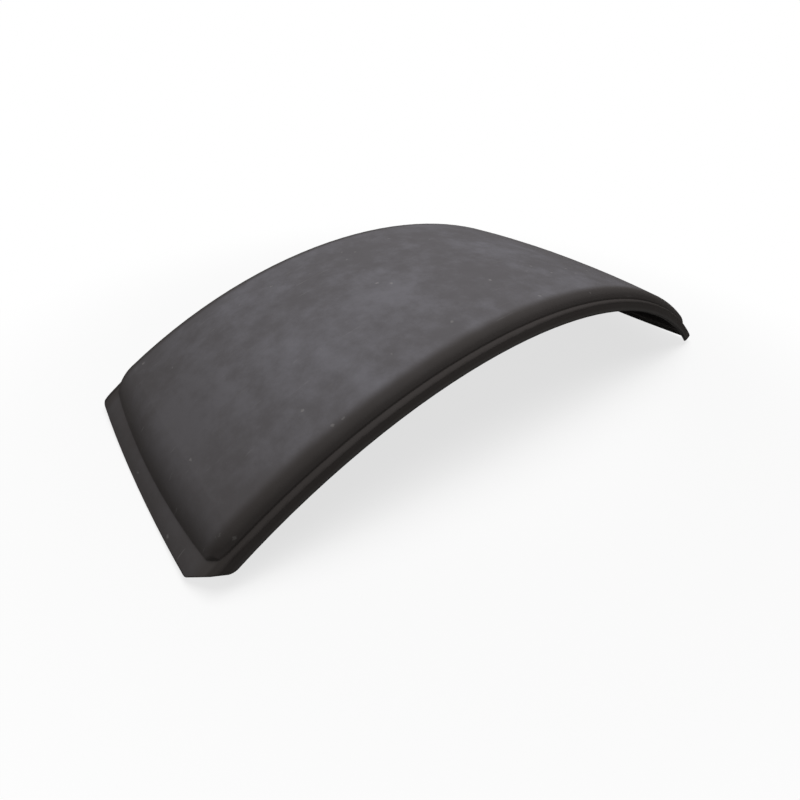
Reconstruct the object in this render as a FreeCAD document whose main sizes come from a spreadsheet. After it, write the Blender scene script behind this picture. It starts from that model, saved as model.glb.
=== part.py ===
"""Mudguard for a tractor's front wheel: one moulded plastic shell, a raised crown with a rim all round.

Millimetres. The shell is modelled about the wheel's axis, which runs along Y, with +X along the arch and
+Z up. The half at +X is modelled, and the other half is the same one turned about Z, so that the guard fits
either way round. The finished shell is then set down, so that its origin is the middle of its underside.
"""
import FreeCAD, Part
import math
import os
import Sketcher
from FreeCAD import Placement, Rotation, Vector

SIZES = {
    "arch_radius": 720.0,            # wheel axis to the top of the crown
    "crown_radius": 1940.0,          # the crown's gentle curve across the guard
    "guard_width": 360.0,            # overall, over the turned-down lips
    "side_rim_width": 9.0,           # raised part's foot to the lips' edge, each side
    "wall": 5.0,                     # moulded wall
    "step_depth": 18.5,              # top of the crown down to the rim, which is flat across
    "dome_half_angle": 37.35,        # mid-plane to the raised part's end, about the wheel axis
    "wall_draft": 10.0,              # lean of the raised part's side walls
    "shoulder_radius": 13.0,         # crown into the side walls
    "end_shoulder_radius": 68.0,     # crown into the ends, a softer curve
    "dome_corner_along": 18.5,       # cut corner of the raised part, along the guard
    "dome_corner_across": 26.0,      # and across it
    "dome_corner_radius": 5.0,       # rounding round that cut
    "end_rim_width": 23.0,           # rim past the raised part's end
    "rim_droop_radius": 65.0,        # the end rim curves down on this radius
    "end_bow": 9.0,                  # the end edge stands out this much at mid-width
    "rim_corner_along": 26.0,        # cut corner of the rim, along the guard
    "rim_corner_across": 32.0,       # and across it
    "rim_corner_end_radius": 10.0,   # rounding where that cut meets the end
    "rim_corner_side_radius": 22.0,  # rounding where that cut meets the side
    "rim_round_radius": 16.0,        # the rim's other corner is only rounded
    "lip_slope": 77.0,               # the side lips turn down by this angle
    "lip_drop": 32.0,                # top of the crown down to the lips' edge
    "lip_bend_radius": 3.0,          # rim into the lips, on the outside
}

# The part of the arch's angle that the end shoulder takes up, down to the rim
SHOULDER_ANGLE = (
    "acos(((size.arch_radius - size.step_depth)^2 + (size.arch_radius - size.end_shoulder_radius)^2"
    " - size.end_shoulder_radius^2)"
    " / (2 * (size.arch_radius - size.step_depth) * (size.arch_radius - size.end_shoulder_radius)))"
)
# How far the end shoulder turns until it is halfway through the rim's wall
SHOULDER_TURN = (
    "acos(((size.arch_radius - size.step_depth - size.wall / 2)^2"
    " - (size.arch_radius - size.end_shoulder_radius)^2 - size.end_shoulder_radius^2)"
    " / (2 * (size.arch_radius - size.end_shoulder_radius) * size.end_shoulder_radius))"
)
DOME_SPAN = f"(size.dome_half_angle * 1 deg - {SHOULDER_ANGLE})"
DROOP_ANGLE = "(size.end_rim_width / size.rim_droop_radius * 1 rad)"
DOME_SIDE = "(size.guard_width / 2 - size.side_rim_width)"

# Edges are told apart by the directions beside them: along an axis, slanting, or level
ALONG = 0.9
SLANT = 0.1
LEVEL = 0.01

doc = FreeCAD.newDocument("mudguard")
sheet = doc.addObject("Spreadsheet::Sheet", "size")
for row, (alias, number) in enumerate(SIZES.items(), 1):
    sheet.set(f"A{row}", alias)
    sheet.set(f"B{row}", str(number))
    sheet.setAlias(f"B{row}", alias)
doc.recompute()


def new_sketch(body, plane, name):
    """An empty sketch on one of the body's own origin planes."""
    sketch = body.newObject("Sketcher::SketchObject", name)
    planes = [item for item in body.Origin.OriginFeatures if item.Role == plane]
    sketch.AttachmentSupport = [(planes[0], "")]
    sketch.MapMode = "FlatFace"
    return sketch


def bind(sketch, expression, *constraint):
    """Adds a constraint whose value comes from the spreadsheet."""
    index = sketch.addConstraint(Sketcher.Constraint(*constraint))
    sketch.setExpression(f"Constraints[{index}]", expression)


def join(sketch, *corners):
    """Joins curves end to end: each corner is (curve, end, curve, end)."""
    for corner in corners:
        sketch.addConstraint(Sketcher.Constraint("Coincident", *corner))


def line(sketch, start, end):
    return sketch.addGeometry(Part.LineSegment(Vector(*start), Vector(*end)))


def arc(sketch, centre, radius, start_angle, end_angle):
    circle = Part.Circle(Vector(*centre), Vector(0, 0, 1), radius)
    return sketch.addGeometry(Part.ArcOfCircle(circle, start_angle, end_angle))


def value(expression):
    """What an expression comes to, for the first guess of a sketch."""
    result = sheet.evalExpression(expression)
    return float(getattr(result, "Value", result))


def arch_path(body, name, radius, span, end_radius, end_span):
    """Half of the arch from the side: a long arc from the top, then a tighter one that runs on down."""
    sketch = new_sketch(body, "XZ_Plane", name)
    turn = math.pi / 2 - math.radians(value(span))
    reach = value(radius) - value(end_radius)
    centre = (reach * math.cos(turn), reach * math.sin(turn))
    long = arc(sketch, (0, 0), value(radius), turn, math.pi / 2)
    short = arc(sketch, centre, value(end_radius), turn - math.radians(value(end_span)), turn)
    join(sketch, (long, 3, -1, 1))
    sketch.addConstraint(Sketcher.Constraint("PointOnObject", long, 2, -2))
    sketch.addConstraint(Sketcher.Constraint("Tangent", long, 1, short, 2))
    bind(sketch, radius, "Radius", long, value(radius))
    bind(sketch, span, "Angle", long, math.radians(value(span)))
    bind(sketch, end_radius, "Radius", short, value(end_radius))
    bind(sketch, end_span, "Angle", short, math.radians(value(end_span)))
    return sketch


def cross_section(body, name, top, radius, flank, bend, points):
    """Closed profile across the guard: a curved top, bends into two flanks, and points given for +Y."""
    sketch = new_sketch(body, "YZ_Plane", name)
    middle = value(top) - value(radius)
    right = [(value(across), value(up)) for across, up in points]
    lean = math.radians(value(flank))
    upward = (math.cos(lean), math.sin(lean))
    inward = (-math.sin(lean), math.cos(lean))
    round_off = value(bend)
    foot = (right[0][0] + round_off * inward[0], right[0][1] + round_off * inward[1] - middle)
    along = foot[0] * upward[0] + foot[1] * upward[1]
    reach = value(radius) - round_off
    run = -along + math.sqrt(along ** 2 - foot[0] ** 2 - foot[1] ** 2 + reach ** 2)
    hub = (foot[0] + run * upward[0], foot[1] + run * upward[1] + middle)
    corner = (hub[0] - round_off * inward[0], hub[1] - round_off * inward[1])
    half = math.asin(hub[0] / reach)
    crest = arc(sketch, (0, middle), value(radius), math.pi / 2 - half, math.pi / 2 + half)
    chain = [corner] + right
    corners = [(-across, up) for across, up in chain] + chain[::-1]
    lines = [line(sketch, start, end) for start, end in zip(corners, corners[1:])]
    join(sketch, *[(first, 2, second, 1) for first, second in zip(lines, lines[1:])])
    near = arc(sketch, hub, round_off, lean - math.pi / 2, math.pi / 2 - half)
    far = arc(sketch, (-hub[0], hub[1]), round_off, math.pi / 2 + half, 3 * math.pi / 2 - lean)
    bind(sketch, bend, "Radius", near, round_off)
    for curves in ((crest, 1, near, 2), (near, 1, lines[-1], 2), (crest, 2, far, 1), (far, 2, lines[0], 1)):
        sketch.addConstraint(Sketcher.Constraint("Tangent", *curves))
    sketch.addConstraint(Sketcher.Constraint("PointOnObject", crest, 3, -2))
    sketch.addConstraint(Sketcher.Constraint("Symmetric", lines[0], 1, lines[-1], 2, -2))
    bind(sketch, f"{radius} - ({top})", "DistanceY", crest, 3, -1, 1, -middle)
    bind(sketch, radius, "Radius", crest, value(radius))
    bind(sketch, flank, "Angle", lines[-1], lean)
    for step, (across, up) in enumerate(points):
        near, far = lines[-1 - step], lines[step]
        bind(sketch, across, "DistanceX", -1, 1, near, 1, value(across))
        bind(sketch, up, "DistanceY", -1, 1, near, 1, value(up))
        sketch.addConstraint(Sketcher.Constraint("Symmetric", far, 2, near, 1, -2))
    return sketch


def flat_section(body, name, top, bend, points):
    """Closed profile across the guard: a flat top, lips turned down from it, and points given for +Y."""
    sketch = new_sketch(body, "YZ_Plane", name)
    height = value(top)
    right = [(value(across), value(up)) for across, up in points]
    lean = math.pi - math.radians(value("size.lip_slope"))
    corner = (right[0][0] + (height - right[0][1]) / math.tan(lean), height)
    setback = value(bend) * math.tan((math.pi - lean) / 2) if bend else 0
    shelf = corner[0] - setback
    turn = (corner[0] - setback * math.cos(lean), height - setback * math.sin(lean))
    chain = [turn] + right
    corners = [(-across, up) for across, up in chain] + chain[::-1]
    lines = [line(sketch, start, end) for start, end in zip(corners, corners[1:])]
    flat = line(sketch, (shelf, height), (-shelf, height))
    join(sketch, *[(first, 2, second, 1) for first, second in zip(lines, lines[1:])])
    if bend:
        near = arc(sketch, (shelf, height - value(bend)), value(bend), lean - math.pi / 2, math.pi / 2)
        far = arc(sketch, (-shelf, height - value(bend)), value(bend), math.pi / 2, 3 * math.pi / 2 - lean)
        for curves in ((flat, 1, near, 2), (near, 1, lines[-1], 2), (flat, 2, far, 1), (far, 2, lines[0], 1)):
            sketch.addConstraint(Sketcher.Constraint("Tangent", *curves))
        sketch.addConstraint(Sketcher.Constraint("Equal", near, far))
        bind(sketch, bend, "Radius", near, value(bend))
    else:
        join(sketch, (flat, 2, lines[0], 1), (lines[-1], 2, flat, 1))
    sketch.addConstraint(Sketcher.Constraint("Symmetric", flat, 1, flat, 2, -2))
    bind(sketch, top, "DistanceY", -1, 1, flat, 1, height)
    bind(sketch, "180 deg - size.lip_slope * 1 deg", "Angle", lines[-1], lean)
    for step, (across, up) in enumerate(points):
        near, far = lines[-1 - step], lines[step]
        bind(sketch, across, "DistanceX", -1, 1, near, 1, value(across))
        bind(sketch, up, "DistanceY", -1, 1, near, 1, value(up))
        sketch.addConstraint(Sketcher.Constraint("Symmetric", far, 2, near, 1, -2))
    return sketch


def sweep(body, name, profile, path):
    """Solid made by carrying a profile along a path."""
    pipe = body.newObject("PartDesign::AdditivePipe", name)
    pipe.Profile = profile
    pipe.Spine = path
    doc.recompute()


def edges_where(feature, chosen):
    """Names of the edges for which chosen(middle, tangent, normals) is true."""
    shape = feature.Shape
    names = []
    for index, edge in enumerate(shape.Edges, 1):
        faces = shape.ancestorsOfType(edge, Part.Face)
        if len(faces) == 2:
            half_way = (edge.FirstParameter + edge.LastParameter) / 2
            middle = edge.valueAt(half_way)
            normals = [face.normalAt(*face.Surface.parameter(middle)) for face in faces]
            if chosen(middle, edge.tangentAt(half_way), normals):
                names.append(f"Edge{index}")
    return names


def outward(middle):
    """Straight out from the wheel's axis."""
    return Vector(middle.x, 0, middle.z).normalize()


def is_corner_cut(normal):
    return abs(normal.z) < LEVEL and min(abs(normal.x), abs(normal.y)) > SLANT


def corner_cut(middle, tangent, normals):
    """Round the raised part's cut corner, but not along the foot of the block."""
    return any(is_corner_cut(n) for n in normals) and max(n.dot(outward(middle)) for n in normals) > -SLANT


def block_corner(sketch, across):
    """A front corner of the trimming block, this far to the side."""
    upright = sketch.Placement.Rotation.multVec(Vector(0, 0, 1))
    forward = sketch.Placement.Rotation.multVec(Vector(1, 0, 0))

    def chosen(middle, tangent, normals):
        in_front = middle.dot(forward) > -value("size.arch_radius")
        return in_front and abs(tangent.dot(upright)) > ALONG and abs(middle.y - across) < LEVEL

    return chosen


def rounded(body, name, chosen, radius):
    """Rounds the chosen edges of the body as it stands."""
    base = body.Tip
    fillet = body.newObject("PartDesign::Fillet", name)
    fillet.Base = (base, edges_where(base, chosen))
    fillet.setExpression("Radius", radius)
    doc.recompute()


def cut_dome_corner(body, name, inset):
    """Cuts one corner of the raised part off, straight down as it comes out of the mould."""
    length = "sqrt(size.dome_corner_along^2 + size.dome_corner_across^2)"
    end = (
        "((size.arch_radius - size.step_depth) * sin(size.dome_half_angle * 1 deg)"
        f" - {inset} * size.dome_corner_across / {length})"
    )
    side = f"({DOME_SIDE} - {inset} * size.dome_corner_along / {length})"
    along = "size.dome_corner_along"
    across = "size.dome_corner_across"
    points = [
        (f"{end} - 2 * {along}", f"{side} + {across}"),
        (f"{end} + {along}", f"{side} - 2 * {across}"),
        (f"{end} + {along}", f"{side} + {across}"),
    ]
    sketch = new_sketch(body, "XY_Plane", name + "_outline")
    corners = [(value(x), value(y)) for x, y in points]
    sides = [line(sketch, *pair) for pair in zip(corners, corners[1:] + corners[:1])]
    join(sketch, *[(a, 2, b, 1) for a, b in zip(sides, sides[1:] + sides[:1])])
    for curve, (x, y) in zip(sides, points):
        bind(sketch, x, "DistanceX", -1, 1, curve, 1, value(x))
        bind(sketch, y, "DistanceY", -1, 1, curve, 1, value(y))
    pocket = body.newObject("PartDesign::Pocket", name)
    pocket.Profile = sketch
    pocket.Type = "ThroughAll"
    pocket.Midplane = True
    doc.recompute()


def moulded_form(name, inset, depth, turn, corner_round, bend, edge_points):
    """Half of the guard as a solid block: its outside for an inset of nothing, its hollow for the wall."""
    body = doc.addObject("PartDesign::Body", name)
    dome_path = arch_path(
        body, name + "_dome_path", f"size.arch_radius - {inset}", DOME_SPAN,
        f"size.end_shoulder_radius - {inset}", turn,
    )
    half_width = (
        f"{DOME_SIDE} - {inset} / cos(size.wall_draft * 1 deg)"
        f" + ({depth} - size.step_depth) * tan(size.wall_draft * 1 deg)"
    )
    dome_section = cross_section(
        body, name + "_dome_section", f"size.arch_radius - {inset}", f"size.crown_radius - {inset}",
        "90 deg + size.wall_draft * 1 deg", f"size.shoulder_radius - {inset}",
        [(half_width, f"size.arch_radius - {depth}")],
    )
    sweep(body, name + "_dome", dome_section, dome_path)
    cut_dome_corner(body, name + "_corner", inset)
    rounded(body, name + "_corner_rounds", corner_cut, corner_round)
    rim_path = arch_path(
        body, name + "_rim_path", f"size.arch_radius - size.step_depth - {inset}",
        "size.dome_half_angle * 1 deg", f"size.rim_droop_radius - {inset}",
        f"{DROOP_ANGLE} + 2 * size.wall / size.rim_droop_radius * 1 rad",
    )
    rim_section = flat_section(
        body, name + "_rim_section", f"size.arch_radius - size.step_depth - {inset}", bend, edge_points,
    )
    sweep(body, name + "_rim", rim_section, rim_path)
    return body


def end_outline():
    """Block that trims the rim square to its sheet: a bowed end, one cut corner, one rounded, clear sides."""
    body = doc.addObject("PartDesign::Body", "end_outline")
    sketch = new_sketch(body, "XY_Plane", "end_outline_sketch")
    turn = f"size.dome_half_angle * 1 deg + {DROOP_ANGLE}"
    sketch.AttachmentOffset = Placement(Vector(), Rotation(Vector(0, 1, 0), value(turn)))
    sketch.setExpression("AttachmentOffset.Rotation.Angle", turn)
    bow_radius = "(size.guard_width^2 / (8 * size.end_bow) + size.end_bow / 2)"
    end = f"((size.arch_radius - size.step_depth - size.rim_droop_radius) * sin({DROOP_ANGLE}))"
    side = "(size.guard_width / 2 + size.wall / 10)"
    bow_end = "(size.guard_width / 2 - size.rim_corner_across)"
    back = "2 * size.arch_radius"
    cut_back = f"{end} + size.end_bow + size.rim_corner_along"
    hub = -value(end) - value(bow_radius)
    from_angle = -math.asin(value(side) / value(bow_radius))
    to_angle = math.asin(value(bow_end) / value(bow_radius))
    bow = arc(sketch, (hub, 0), value(bow_radius), from_angle, to_angle)
    tip = (hub + value(bow_radius) * math.cos(to_angle), value(bow_end))
    start = (hub + value(bow_radius) * math.cos(from_angle), -value(side))
    points = [(-value(cut_back), value(side)), (-value(back), value(side)), (-value(back), -value(side))]
    corners = [tip] + points + [start]
    lines = [line(sketch, *pair) for pair in zip(corners, corners[1:])]
    join(sketch, (bow, 2, lines[0], 1), (lines[-1], 2, bow, 1))
    join(sketch, *[(first, 2, second, 1) for first, second in zip(lines, lines[1:])])
    sketch.addConstraint(Sketcher.Constraint("PointOnObject", bow, 3, -1))
    sketch.addConstraint(Sketcher.Constraint("Horizontal", lines[3]))
    bind(sketch, f"{bow_radius} + {end}", "DistanceX", bow, 3, -1, 1, -hub)
    bind(sketch, bow_radius, "Radius", bow, value(bow_radius))
    bind(sketch, bow_end, "DistanceY", -1, 1, bow, 2, value(bow_end))
    for step, (behind, across) in enumerate(((cut_back, side), (back, side))):
        bind(sketch, behind, "DistanceX", lines[step], 2, -1, 1, value(behind))
        bind(sketch, across, "DistanceY", -1, 1, lines[step], 2, value(across))
    sketch.addConstraint(Sketcher.Constraint("Symmetric", lines[1], 2, lines[2], 2, -1))
    pad = body.newObject("PartDesign::Pad", "end_outline_block")
    pad.Profile = sketch
    pad.Midplane = True
    pad.setExpression("Length", "4 * size.arch_radius")
    doc.recompute()
    rounded(body, "end_corner_round", block_corner(sketch, value(bow_end)), "size.rim_corner_end_radius")
    rounded(body, "side_corner_round", block_corner(sketch, value(side)), "size.rim_corner_side_radius")
    rounded(body, "plain_corner_round", block_corner(sketch, -value(side)), "size.rim_round_radius")
    return body


LIP_SINE = "sin(size.lip_slope * 1 deg)"
LIP_COSINE = "cos(size.lip_slope * 1 deg)"
EDGE_ACROSS = "size.guard_width / 2"
EDGE_UP = "size.arch_radius - size.lip_drop"

outside = moulded_form(
    "outside", "0", "(size.lip_drop - size.wall)", SHOULDER_TURN, "size.dome_corner_radius",
    "size.lip_bend_radius",
    [
        (EDGE_ACROSS, EDGE_UP),
        (f"{EDGE_ACROSS} - 2 * size.wall * {LIP_SINE}", f"{EDGE_UP} - 2 * size.wall * {LIP_COSINE}"),
    ],
)
inside = moulded_form(
    "inside", "size.wall", "(size.lip_drop + size.wall / 2)", f"90 deg - {DOME_SPAN}",
    "size.dome_corner_radius / 2", None,
    [(
        f"{EDGE_ACROSS} - size.wall * {LIP_SINE} + 2 * size.wall * {LIP_COSINE}",
        f"{EDGE_UP} - size.wall * {LIP_COSINE} - 2 * size.wall * {LIP_SINE}",
    )],
)

half_block = doc.addObject("Part::Cut", "half_block")
half_block.Base = outside
half_block.Tool = inside
half_shell = doc.addObject("Part::Common", "half_shell")
half_shell.Base = half_block
half_shell.Tool = end_outline()
mirrored_half = doc.addObject("Part::Mirroring", "mirrored_half")
mirrored_half.Source = half_shell
mirrored_half.Normal = Vector(1, 0, 0)
other_half = doc.addObject("Part::Mirroring", "other_half")
other_half.Source = mirrored_half
other_half.Normal = Vector(0, 1, 0)
mudguard = doc.addObject("Part::Fuse", "mudguard")
mudguard.Label = "mudguard"
mudguard.Base = half_shell
mudguard.Tool = other_half
mudguard.Refine = True
doc.recompute()
lowest = mudguard.Shape.optimalBoundingBox(False, False).ZMin
mudguard.Placement = Placement(Vector(0, 0, -lowest), Rotation())
doc.recompute()

for item in doc.Objects:
    if {"Invalid", "Error"} & set(item.State):
        raise RuntimeError(f"{item.Name} did not build")
if mudguard.Shape.isNull() or not mudguard.Shape.isValid() or len(mudguard.Shape.Solids) != 1:
    raise RuntimeError("the mudguard is not one sound solid")
os.makedirs("parts", exist_ok=True)
mudguard.Shape.exportStep(f"parts/{mudguard.Label}.step")
box = mudguard.Shape.optimalBoundingBox(False, False)
print(f"{mudguard.Label}: {box.XLength:.1f} x {box.YLength:.1f} x {box.ZLength:.1f} mm,"
      f" {mudguard.Shape.Volume / 1000:.0f} cm3, {len(mudguard.Shape.Faces)} faces")
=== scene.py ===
"""Mudguard on a pale floor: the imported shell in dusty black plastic, under a soft overhead light."""
import math
import bpy
from mathutils import Matrix, Vector
from types import SimpleNamespace


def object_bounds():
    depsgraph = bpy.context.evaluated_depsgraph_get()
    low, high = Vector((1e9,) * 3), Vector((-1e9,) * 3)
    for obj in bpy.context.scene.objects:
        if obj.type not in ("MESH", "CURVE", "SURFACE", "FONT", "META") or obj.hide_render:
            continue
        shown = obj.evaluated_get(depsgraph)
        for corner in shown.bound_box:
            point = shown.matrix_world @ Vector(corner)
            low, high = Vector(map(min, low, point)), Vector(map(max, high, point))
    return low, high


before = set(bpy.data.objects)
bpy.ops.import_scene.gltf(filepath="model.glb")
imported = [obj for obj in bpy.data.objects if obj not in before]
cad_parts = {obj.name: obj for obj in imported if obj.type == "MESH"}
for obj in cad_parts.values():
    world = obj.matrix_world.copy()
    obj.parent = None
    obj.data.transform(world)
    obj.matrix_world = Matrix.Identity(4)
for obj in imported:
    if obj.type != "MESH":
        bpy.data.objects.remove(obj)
cad_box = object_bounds()

# The shell's sizes in metres, with radii from the wheel's axis and half widths from the middle line
ARCH_RADIUS = 0.72
RIM_RADIUS = 0.7015
LIP_EDGE_RADIUS = 0.688
SIDE_RIM_WIDTH = 0.009
AXIS_HEIGHT = cad_box[1][2] - ARCH_RADIUS
FOOT_HALF_WIDTH = cad_box[1][1] - SIDE_RIM_WIDTH

# Where the look changes with the distance from the wheel's axis, from the first radius to the second
RIM_TO_CROWN = (RIM_RADIUS - 0.0015, RIM_RADIUS + 0.0125)
RIM_TO_LIP = (RIM_RADIUS - 0.0015, RIM_RADIUS - 0.0045)
LIP_TO_EDGE = (LIP_EDGE_RADIUS + 0.006, LIP_EDGE_RADIUS + 0.002)
WALL_TO_LEDGE = (RIM_RADIUS + 0.003, RIM_RADIUS + 0.0005)
WALL_TO_SHOULDER = (RIM_RADIUS + 0.002, RIM_RADIUS + 0.0065)

# Where it changes with the distance from the middle line, and from mid-length
# The dust mask's fade towards the sides, partly dust and partly painted shade on the shoulders
SIDES_TO_CROWN = (FOOT_HALF_WIDTH - 0.007, FOOT_HALF_WIDTH - 0.024)
CROWN_TO_SHOULDER = (FOOT_HALF_WIDTH - 0.021, FOOT_HALF_WIDTH - 0.008)
WALL_TO_FOOT = (FOOT_HALF_WIDTH - 0.005, FOOT_HALF_WIDTH)
FEW_TO_MORE_SPECKS = (0.05, 0.14)
# The dust mask's fades along the arch, partly dust and partly painted shade on the ends
ENDS_TO_MIDDLE = (0.4, 0.25)
FAR_END_TO_MIDDLE = (0.31, 0.11)

# Colours in linear light
WHITE = (1, 1, 1, 1)
FLOOR_SEEN = (0.95, 0.95, 0.95, 1)
FLOOR_BOUNCING = (0.3, 0.3, 0.3, 1)
BARE_DARK = (0.055, 0.049, 0.046, 1)
BARE_PALE = (0.069, 0.062, 0.06, 1)
DUST_DARK = (0.124, 0.12, 0.13, 1)
DUST_PALE = (0.15, 0.145, 0.158, 1)
SPECK = (0.3, 0.29, 0.28, 1)
SCRATCH = (0.2, 0.195, 0.19, 1)
LIP = (0.09, 0.081, 0.077, 1)
# Painted highlight for a band just above the lips' trimmed edge
PAINTED_EDGE_HIGHLIGHT = (0.16, 0.155, 0.15, 1)
# Painted shade for the side shoulders and the ledge at the walls' foot
SHADE = (0.022, 0.019, 0.017, 1)


def set_camera():
    """A wide lens close to the guard, at the photograph's angle, worked out from its perspective."""
    azimuth = math.radians(-44.22)
    elevation = math.radians(24.93)
    yaw, pitch, roll = (math.radians(angle) for angle in (-4.21, 10.787, -5.084))
    distance = 1.0104 * ARCH_RADIUS
    aim_height = AXIS_HEIGHT + 0.8894 * ARCH_RADIUS
    sensor_width = 36.0
    focal_pixels = 495.5
    image_pixels = 800.0
    aim = Vector((0, 0, aim_height))
    back = Vector((
        math.sin(azimuth) * math.cos(elevation),
        -math.cos(azimuth) * math.cos(elevation),
        math.sin(elevation),
    ))
    right = Vector((0, 0, 1)).cross(back).normalized()
    level = Matrix((right, back.cross(right), back))
    turn = Matrix.Rotation(roll, 3, "Z") @ Matrix.Rotation(pitch, 3, "X") @ Matrix.Rotation(yaw, 3, "Y")
    facing = (turn @ level).transposed().to_4x4()
    camera = bpy.data.cameras.new("camera")
    camera.sensor_width = sensor_width
    camera.lens = sensor_width * focal_pixels / image_pixels
    camera.clip_start = 0.01
    holder = bpy.data.objects.new("camera", camera)
    holder.matrix_world = Matrix.Translation(aim + back * distance) @ facing
    bpy.context.scene.collection.objects.link(holder)
    bpy.context.scene.camera = holder


def area_light(name, place, aim, size, power):
    """A square lamp at a place, turned to its aim."""
    lamp = bpy.data.lights.new(name, "AREA")
    lamp.shape = "SQUARE"
    lamp.size = size
    lamp.energy = power
    holder = bpy.data.objects.new(name, lamp)
    holder.location = place
    holder.rotation_euler = (Vector(aim) - Vector(place)).to_track_quat("-Z", "Y").to_euler()
    bpy.context.scene.collection.objects.link(holder)


def put(tree, socket, source):
    """Links another node's output to a socket, or sets the socket to a number or colour."""
    if isinstance(source, bpy.types.NodeSocket):
        tree.links.new(source, socket)
    else:
        socket.default_value = source


def add(tree, kind, **inputs):
    """A new node with the named inputs linked or set."""
    node = tree.nodes.new("ShaderNode" + kind)
    for name, source in inputs.items():
        put(tree, node.inputs[name.replace("_", " ")], source)
    return node


def calc(tree, operation, *sources):
    """The result of one operation on sockets or numbers."""
    node = tree.nodes.new("ShaderNodeMath")
    node.operation = operation
    for socket, source in zip(node.inputs, sources):
        put(tree, socket, source)
    return node.outputs[0]


def times(tree, product, *others):
    """All the sockets or numbers multiplied together."""
    for other in others:
        product = calc(tree, "MULTIPLY", product, other)
    return product


def length(tree, vector):
    """The length of a vector."""
    node = add(tree, "VectorMath", Vector=vector)
    node.operation = "LENGTH"
    return node.outputs["Value"]


def ramp(tree, source, span, values=(0.0, 1.0)):
    """A smooth step between two values while the source goes along the span, up or down."""
    node = add(
        tree, "MapRange", Value=source,
        From_Min=span[0], From_Max=span[1], To_Min=values[0], To_Max=values[1],
    )
    node.interpolation_type = "SMOOTHSTEP"
    return node.outputs[0]


def blend(tree, share, first, second):
    """A mix of two colours, by the sockets that the mix node keeps for colours."""
    node = tree.nodes.new("ShaderNodeMix")
    node.data_type = "RGBA"
    put(tree, node.inputs["Factor"], share)
    put(tree, node.inputs[6], first)
    put(tree, node.inputs[7], second)
    return node.outputs[2]


def mix_shaders(tree, share, first, second):
    """A mix of two shader nodes."""
    node = tree.nodes.new("ShaderNodeMixShader")
    for socket, source in zip(node.inputs, (share, first.outputs[0], second.outputs[0])):
        put(tree, socket, source)
    return node.outputs[0]


def noise(tree, place, scale, detail=4.0, rough=0.55):
    """Cloudy noise between nought and one."""
    node = add(tree, "TexNoise", Vector=place, Scale=scale, Detail=detail, Roughness=rough)
    return node.outputs["Fac"]


def seen_directly(tree):
    """One for rays that show the background: from the camera, a reflection or through glass."""
    path = tree.nodes.new("ShaderNodeLightPath")
    direct = calc(tree, "MAXIMUM", path.outputs["Is Camera Ray"], path.outputs["Is Glossy Ray"])
    return calc(tree, "MAXIMUM", direct, path.outputs["Is Transmission Ray"])


def set_light():
    """A broad soft light overhead, little from the sides, and a white background."""
    world = bpy.data.worlds.new("studio")
    bpy.context.scene.world = world
    world.use_nodes = True
    tree = world.node_tree
    tree.nodes.clear()
    dim = add(tree, "Background", Color=WHITE, Strength=0.13)
    white = add(tree, "Background", Color=WHITE, Strength=1.0)
    add(tree, "OutputWorld", Surface=mix_shaders(tree, seen_directly(tree), dim, white))
    area_light("overhead", place=(-0.08, -0.06, 1.5), aim=(-0.02, 0.0, 0.0), size=1.2, power=22.0)


def floor_material():
    """Pale to the eye and darker to the light that it bounces, and white from a little way off."""
    material = bpy.data.materials.new("pale_floor")
    material.use_nodes = True
    tree = material.node_tree
    tree.nodes.clear()
    direct = seen_directly(tree)
    away = length(tree, tree.nodes.new("ShaderNodeNewGeometry").outputs["Position"])
    lit = add(tree, "BsdfDiffuse", Color=blend(tree, direct, FLOOR_BOUNCING, FLOOR_SEEN))
    white = add(tree, "Emission", Color=WHITE, Strength=1.0)
    share = times(tree, direct, ramp(tree, away, (0.35, 0.8), (0.72, 1.0)))
    add(tree, "OutputMaterial", Surface=mix_shaders(tree, share, lit, white))
    return material


def make_floor():
    """A floor that keeps the guard's shadow and runs out into the white background."""
    reach = 6.0
    corners = [(-reach, -reach, 0), (reach, -reach, 0), (reach, reach, 0), (-reach, reach, 0)]
    mesh = bpy.data.meshes.new("floor")
    mesh.from_pydata(corners, [], [(0, 1, 2, 3)])
    mesh.materials.append(floor_material())
    floor = bpy.data.objects.new("floor", mesh)
    bpy.context.scene.collection.objects.link(floor)


def measure(tree):
    """What the plastic's look depends on: a point's place on the guard, its facing and the dust's clouds."""
    place = tree.nodes.new("ShaderNodeTexCoord").outputs["Object"]
    normal = tree.nodes.new("ShaderNodeNewGeometry").outputs["Normal"]
    parts = add(tree, "SeparateXYZ", Vector=place).outputs
    from_axis = add(tree, "CombineXYZ", X=parts["X"], Z=calc(tree, "SUBTRACT", parts["Z"], AXIS_HEIGHT))
    broad_clouds = noise(tree, place, 7.0, 6.0, 0.62)
    fine_clouds = noise(tree, place, 38.0, 5.0, 0.65)
    return SimpleNamespace(
        place=place,
        forward=parts["X"],
        along=calc(tree, "ABSOLUTE", parts["X"]),
        across=calc(tree, "ABSOLUTE", parts["Y"]),
        radius=length(tree, from_axis.outputs[0]),
        facing_up=add(tree, "SeparateXYZ", Vector=normal).outputs["Z"],
        fine_clouds=fine_clouds,
        clouds=calc(tree, "MULTIPLY_ADD", fine_clouds, 0.35, times(tree, broad_clouds, 0.65)),
    )


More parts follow.
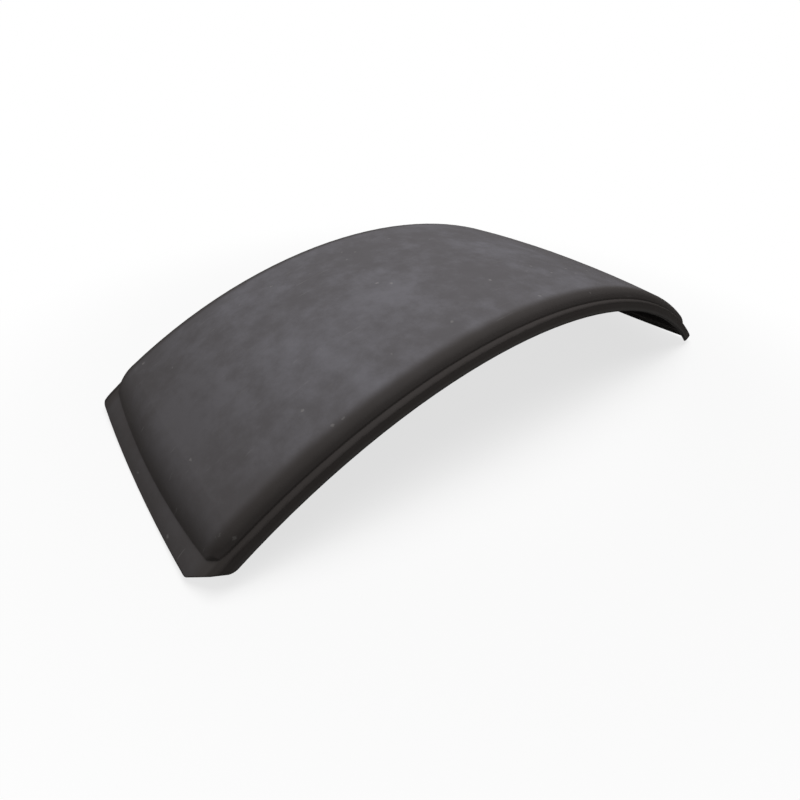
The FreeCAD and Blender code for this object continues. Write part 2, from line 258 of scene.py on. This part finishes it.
def dust_and_light_colour(tree, point):
    """Bare plastic under dust, which lies in clouds on the crown, thinner at its edges and on the rim; the
    same mask is also painted light, paler where the crown faces up and darker where the surface tilts away
    towards the ends, the side shoulders and the rim.
    """
    # The dust mask is also painted light: the upward crown painted paler, the tilted ends, shoulders and rim
    # painted darker
    dust_and_light = times(
        tree,
        ramp(tree, point.radius, RIM_TO_CROWN, (0.6, 1.0)),
        ramp(tree, point.along, ENDS_TO_MIDDLE, (0.54, 1.0)),
        ramp(tree, point.forward, FAR_END_TO_MIDDLE, (0.3, 1.0)),
        ramp(tree, point.across, SIDES_TO_CROWN, (0.15, 1.0)),
        ramp(tree, point.clouds, (0.39, 0.63), (0.55, 1.0)),
        ramp(tree, point.facing_up, (0.1, 0.92)),
    )
    bare = blend(tree, noise(tree, point.place, 22.0), BARE_DARK, BARE_PALE)
    dusty = blend(tree, point.fine_clouds, DUST_DARK, DUST_PALE)
    return blend(tree, dust_and_light, bare, dusty)


def add_specks(tree, point, colour):
    """Light specks of uneven shape, more of them towards the shoulders."""
    swirl = add(tree, "TexNoise", Vector=point.place, Scale=300.0)
    shaken = add(tree, "VectorMath", Vector=swirl.outputs["Color"])
    shaken.operation = "MULTIPLY_ADD"
    put(tree, shaken.inputs[1], (0.005, 0.005, 0.005))
    put(tree, shaken.inputs[2], point.place)
    cells = add(tree, "TexVoronoi", Vector=shaken.outputs[0], Scale=90.0)
    chance = add(tree, "SeparateColor", Color=cells.outputs["Color"]).outputs[0]
    rarity = ramp(tree, point.across, FEW_TO_MORE_SPECKS, (0.97, 0.93))
    chosen = calc(tree, "GREATER_THAN", chance, rarity)
    dot = ramp(tree, cells.outputs["Distance"], (0.26, 0.1))
    return blend(tree, times(tree, dot, chosen, 0.3), colour, SPECK)


def add_scratches(tree, point, colour):
    """Fine pale scratches in patches, all about one way."""
    stretch = add(tree, "Mapping", Vector=point.place, Rotation=(0, 0, 0.5), Scale=(14.0, 260.0, 60.0))
    scratch = ramp(tree, noise(tree, stretch.outputs[0], 1.0, 3.0), (0.66, 0.74))
    patch = ramp(tree, noise(tree, point.place, 9.0), (0.44, 0.58))
    return blend(tree, times(tree, scratch, patch, 0.3), colour, SCRATCH)


def side_highlight_and_shade(tree, point, colour):
    """Lips paler, with a painted highlight most at their trimmed edge, and painted shade on the side
    shoulders and in the ledge below them.
    """
    lip = ramp(tree, point.radius, RIM_TO_LIP)
    # Painted highlight: a pale band a few millimetres above the lips' trimmed edge
    edge = ramp(tree, point.radius, LIP_TO_EDGE, (0.0, 0.5))
    # Painted shade in the groove where the ledge meets the foot of the side wall
    ledge = times(
        tree,
        ramp(tree, point.across, WALL_TO_FOOT, (0.0, 0.5)),
        ramp(tree, point.radius, WALL_TO_LEDGE),
    )
    # Painted shade on the side shoulders
    shoulder = times(
        tree,
        ramp(tree, point.across, CROWN_TO_SHOULDER, (0.0, 0.4)),
        ramp(tree, point.radius, WALL_TO_SHOULDER),
    )
    colour = blend(tree, lip, colour, LIP)
    colour = blend(tree, edge, colour, PAINTED_EDGE_HIGHLIGHT)
    return blend(tree, calc(tree, "MAXIMUM", ledge, shoulder), colour, SHADE)


def moulded_surface(tree, point):
    """The surface's direction, with softened edges, slight waves and a fine grain."""
    soft = add(tree, "Bevel", Radius=0.0025)
    soft.samples = 6
    waves = noise(tree, point.place, 60.0, 3.0)
    grain = noise(tree, point.place, 900.0, 3.0)
    height = calc(tree, "MULTIPLY_ADD", grain, 0.4, waves)
    bump = add(tree, "Bump", Strength=0.12, Distance=0.0012, Height=height, Normal=soft.outputs[0])
    return bump.outputs[0]


def plastic():
    """Black moulded plastic with dust, whose mask also carries painted top light, specks, scratches, paler
    lips with a painted edge highlight, painted shade on the side shoulders and ledge, and a fine grain.
    """
    material = bpy.data.materials.new("guard_plastic")
    material.use_nodes = True
    tree = material.node_tree
    shader = tree.nodes["Principled BSDF"]
    point = measure(tree)
    colour = dust_and_light_colour(tree, point)
    colour = add_specks(tree, point, colour)
    colour = add_scratches(tree, point, colour)
    colour = side_highlight_and_shade(tree, point, colour)
    put(tree, shader.inputs["Base Color"], colour)
    put(tree, shader.inputs["Roughness"], ramp(tree, point.clouds, (0.3, 0.7), (0.72, 0.9)))
    put(tree, shader.inputs["Normal"], moulded_surface(tree, point))
    # Next to no gloss, because the white background shows in reflections
    put(tree, shader.inputs["Specular IOR Level"], 0.015)
    return material


bpy.context.scene.view_settings.view_transform = "Standard"
set_camera()
set_light()
make_floor()
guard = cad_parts["mudguard"]
guard.data.materials.clear()
guard.data.materials.append(plastic())
